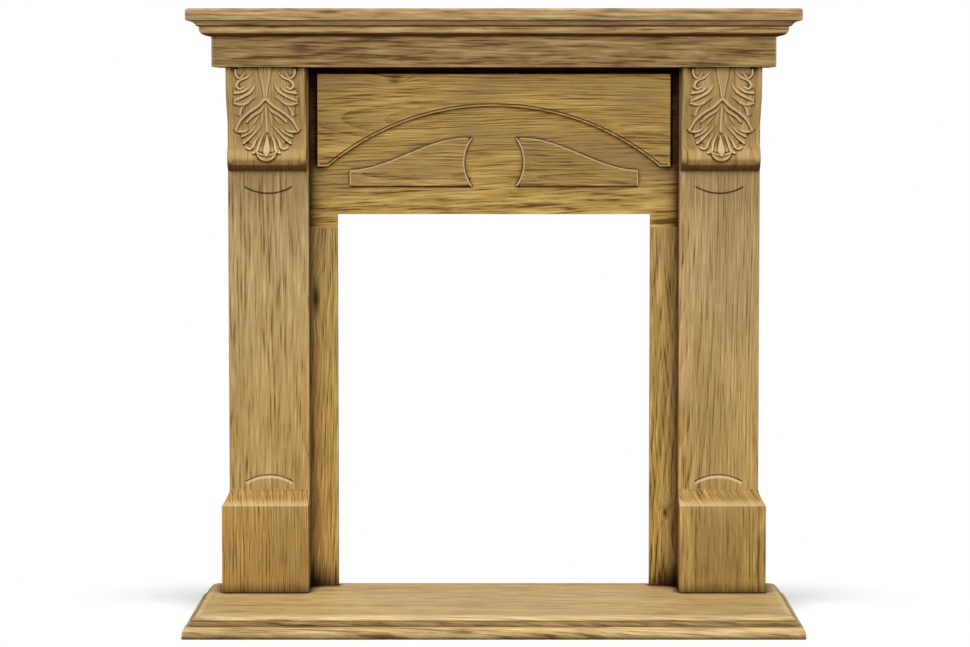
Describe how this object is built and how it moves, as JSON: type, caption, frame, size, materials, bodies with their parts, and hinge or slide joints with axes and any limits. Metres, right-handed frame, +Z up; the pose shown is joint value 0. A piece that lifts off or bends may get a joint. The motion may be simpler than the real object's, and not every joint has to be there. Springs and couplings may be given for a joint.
{
  "type": "fireplace mantel",
  "caption": "Oak fireplace surround: moulded shelf and fascia, plain pilasters with carved leaf corbels, arched frieze plate with applied ornaments, plinth blocks and moulded hearth board.",
  "frame": {"origin": "on the floor, at the middle of the hearth board's footprint, which is the middle of the whole part's box", "axes": "+X along the wall to the right, +Y towards the wall behind the surround, +Z up"},
  "size_m": [1.1024, 0.363, 1.104],
  "materials": {
    "oak_shelf": "satin lacquered oak, greyer brown, grain along the shelf",
    "oak_frieze": "satin lacquered oak, golden, grain along the frieze",
    "oak_upright": "satin lacquered oak, upright grain",
    "oak_carved": "satin lacquered carved oak, darker in the hollows",
    "oak_hearth": "satin lacquered oak, pale golden, grain along the board"
  },
  "bodies": {
    "root": {"hearth_board": "oak_hearth", "frieze_board": "oak_frieze", "spandrel_plate": "oak_frieze", "ornament_left": "oak_frieze", "ornament_right": "oak_frieze", "soffit_board": "oak_shelf", "shelf_board": "oak_shelf", "fascia_front": "oak_shelf", "fascia_return_left": "oak_shelf", "fascia_return_right": "oak_shelf", "cornice_front": "oak_shelf", "cornice_return_left": "oak_shelf", "cornice_return_right": "oak_shelf", "leg_slip_left": "oak_upright", "leg_slip_right": "oak_upright", "pilaster_face_left": "oak_upright", "pilaster_face_right": "oak_upright", "pilaster_inner_side_left": "oak_upright", "pilaster_inner_side_right": "oak_upright", "pilaster_outer_side_left": "oak_upright", "pilaster_outer_side_right": "oak_upright", "plinth_left": "oak_upright", "plinth_right": "oak_upright", "corbel_left": "oak_carved", "corbel_right": "oak_carved"}
  },
  "joints": []
}
